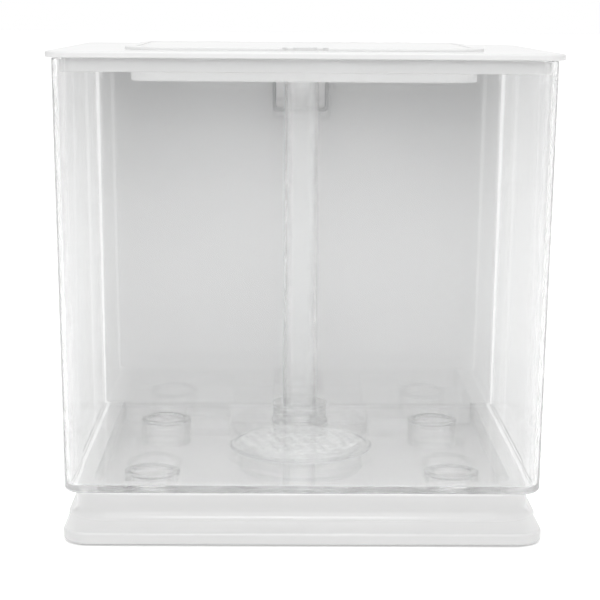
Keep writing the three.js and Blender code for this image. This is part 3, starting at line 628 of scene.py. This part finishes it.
def hatch():
    inside, z0 = grown(FEED, -FEED_WALL - HATCH_PLAY), BRIM_TOP - HATCH_THICK
    panel_rect = inside._replace(back=HINGE_Y - BARREL - 0.35)
    body = moulded(panel_rect, [(-1, z0), (0, z0, 0.2), (0, BRIM_TOP, 0.5), (-2, BRIM_TOP)])
    parts, bores = [], []
    for side in (-1, 1):
        x, half = side * HINGE_X, HINGE_LENGTH / 2
        parts.append(bar_x(BARREL, x - half, x + half, HINGE_Y, HINGE_Z))
        parts.append(box(x - half, x + half, panel_rect.back - 1, HINGE_Y, HINGE_Z - 0.6, HINGE_Z + 1))
        bores.append(bar_x(PIN + PLAY, x - half - 1, x + half + 1, HINGE_Y, HINGE_Z))
    parts.append(prism(Rect(50, FEED.front + 8, FEED.front + 9.4, 0.6), z0 - 1.4, z0 + 0.2, 4))
    parts.append(prism(Rect(TAB_HALF, FEED.front + 0.6, FEED.front + 6, 2), z0, BRIM_TOP, 6))
    return cut(joined(body, *parts), *bores)


piece(lid(), "lid_moulding", "lid", "white_abs", LID_WHITE, "lid_frame")
piece(feed_ring(), "feed_ring", "lid", "white_abs", LID_WHITE, "feed_collar")
for name, side in (("left", -1), ("right", 1)):
    half = HINGE_LENGTH / 2 + PLAY + LUG
    pin = bar_x(PIN, side * HINGE_X - half, side * HINGE_X + half, HINGE_Y, HINGE_Z)
    piece(pin, f"steel_pin_{name}", "lid", "steel", STEEL, f"hinge_pin_{name}", bevel=0.15)
piece(hatch(), "hatch_panel", "hatch", "white_abs", LID_WHITE, "feeding_hatch")

# ---------------------------------------------------------------- studio


FLOOR_LIFT = 0.32


def floor():
    mesh = bpy.data.meshes.new("floor")
    mesh.from_pydata([(-6, -4, 0), (6, -4, 0), (6, 12, 0), (-6, 12, 0)], [], [(0, 1, 2, 3)])
    made = bpy.data.objects.new("floor", mesh)
    scene.collection.objects.link(made)
    look, nodes, links, body = shader("pale_floor")
    tone = ramp(nodes, links, noise(nodes, links, 3, 2), (0.93, 0.93, 0.93), (0.95, 0.95, 0.95))
    links.new(tone, body.inputs["Base Color"])
    body.inputs["Roughness"].default_value = 0.6
    body.inputs["Specular IOR Level"].default_value = 0.2
    lift = nodes.new("ShaderNodeMath")  # seen as plain white, without lighting the object more from below
    lift.operation = "MULTIPLY_ADD"
    lift.inputs[1].default_value, lift.inputs[2].default_value = -FLOOR_LIFT, FLOOR_LIFT
    links.new(nodes.new("ShaderNodeLightPath").outputs["Is Diffuse Ray"], lift.inputs[0])
    body.inputs["Emission Color"].default_value = (1, 1, 1, 1)
    links.new(lift.outputs["Value"], body.inputs["Emission Strength"])
    look.cycles.emission_sampling = "NONE"
    mesh.materials.append(look)


def softbox(name, place, aim, width, height, power, seen=True):
    """A rectangular light. One that isn't seen lights the object, but isn't mirrored in it."""
    light = bpy.data.lights.new(name, "AREA")
    light.shape, light.size, light.size_y, light.energy = "RECTANGLE", width, height, power
    made = bpy.data.objects.new(name, light)
    scene.collection.objects.link(made)
    made.location = place
    made.rotation_mode = "QUATERNION"
    made.rotation_quaternion = (Vector(aim) - Vector(place)).to_track_quat("-Z", "Y")
    made.visible_camera = False
    made.visible_glossy = made.visible_transmission = seen


def surroundings(front, back, top):
    """White all round, as bright as given in front, behind and above, and plain white as a background."""
    world = bpy.data.worlds.new("studio")
    scene.world = world
    world.use_nodes = True
    nodes, links = world.node_tree.nodes, world.node_tree.links
    place = nodes.new("ShaderNodeTexCoord")
    parts = nodes.new("ShaderNodeSeparateXYZ")
    links.new(place.outputs["Generated"], parts.inputs["Vector"])
    shades = []
    for axis, start, end, low, high in (("Y", -0.7, 0.3, front, back), ("Z", 0.0, 1.0, 0.0, top)):
        shade = nodes.new("ShaderNodeMapRange")
        shade.interpolation_type = "SMOOTHSTEP"
        shade.inputs["From Min"].default_value, shade.inputs["From Max"].default_value = start, end
        shade.inputs["To Min"].default_value, shade.inputs["To Max"].default_value = low, high
        links.new(parts.outputs[axis], shade.inputs["Value"])
        shades.append(shade.outputs["Result"])
    path = nodes.new("ShaderNodeLightPath")
    backdrop = nodes.new("ShaderNodeMapRange")
    backdrop.inputs["From Min"].default_value, backdrop.inputs["From Max"].default_value = 0.8, 0.9
    links.new(parts.outputs["Y"], backdrop.inputs["Value"])
    both, mirrored, direct, seen = (nodes.new("ShaderNodeMath") for _ in range(4))
    both.operation, mirrored.operation = "ADD", "MULTIPLY"
    direct.operation = seen.operation = "MAXIMUM"
    links.new(shades[0], both.inputs[0])
    links.new(shades[1], both.inputs[1])
    links.new(path.outputs["Is Glossy Ray"], mirrored.inputs[0])
    links.new(backdrop.outputs["Result"], mirrored.inputs[1])
    links.new(mirrored.outputs["Value"], direct.inputs[0])
    links.new(path.outputs["Is Camera Ray"], direct.inputs[1])
    links.new(both.outputs["Value"], seen.inputs[0])
    links.new(direct.outputs["Value"], seen.inputs[1])
    links.new(seen.outputs["Value"], nodes["Background"].inputs["Strength"])
    nodes["Background"].inputs["Color"].default_value = (1, 1, 1, 1)


def camera():
    data = bpy.data.cameras.new("camera")
    made = bpy.data.objects.new("camera", data)
    scene.collection.objects.link(made)
    data.sensor_width, data.lens = 36, 103.77
    data.clip_start, data.clip_end = 0.05, 60
    pitch, yaw, roll = math.radians(9.672), math.radians(0.745), math.radians(0.40)
    ahead = Vector((math.sin(yaw) * math.cos(pitch), math.cos(yaw) * math.cos(pitch), -math.sin(pitch)))
    level = Vector((math.cos(yaw), -math.sin(yaw), 0))
    up = level.cross(ahead)
    right = level * math.cos(roll) + up * math.sin(roll)
    up = up * math.cos(roll) - level * math.sin(roll)
    turn = Matrix((right, up, -ahead)).transposed()
    made.matrix_world = Matrix.Translation((-0.010, -0.7302, 0.20296)) @ turn.to_4x4()
    scene.camera = made


floor()
softbox("overhead", (0, -0.55, 1.0), (0, 0, 0.1), 0.28, 0.35, 1.9)
softbox("front", (0, -1.7, 0.8), (0, 0, 0.1), 1.0, 0.6, 3.2)
softbox("left", (-0.9, -0.6, 0.45), (0, 0, 0.1), 0.08, 0.5, 0.25)
softbox("right", (0.9, -0.6, 0.45), (0, 0, 0.1), 0.08, 0.5, 0.25)
# These two, inside the tank, stand in for light that comes through and around the thin white lid.
softbox("through_lid", (0, -0.01, 0.171), (0, 0.012, 0), 0.11, 0.05, 0.045)
softbox("under_flange", (0, -0.078, 0.168), (0, 0, 0.174), 0.17, 0.014, 0.004, seen=False)
surroundings(0.43, 0.57, 0.46)
camera()

scene.view_settings.view_transform = "Standard"
scene.cycles.max_bounces = 32
scene.cycles.transmission_bounces = 28
scene.cycles.transparent_max_bounces = 32
scene.cycles.diffuse_bounces = 10
scene.cycles.glossy_bounces = 8
scene.cycles.caustics_reflective = False
scene.cycles.caustics_refractive = True
scene.cycles.use_denoising = True
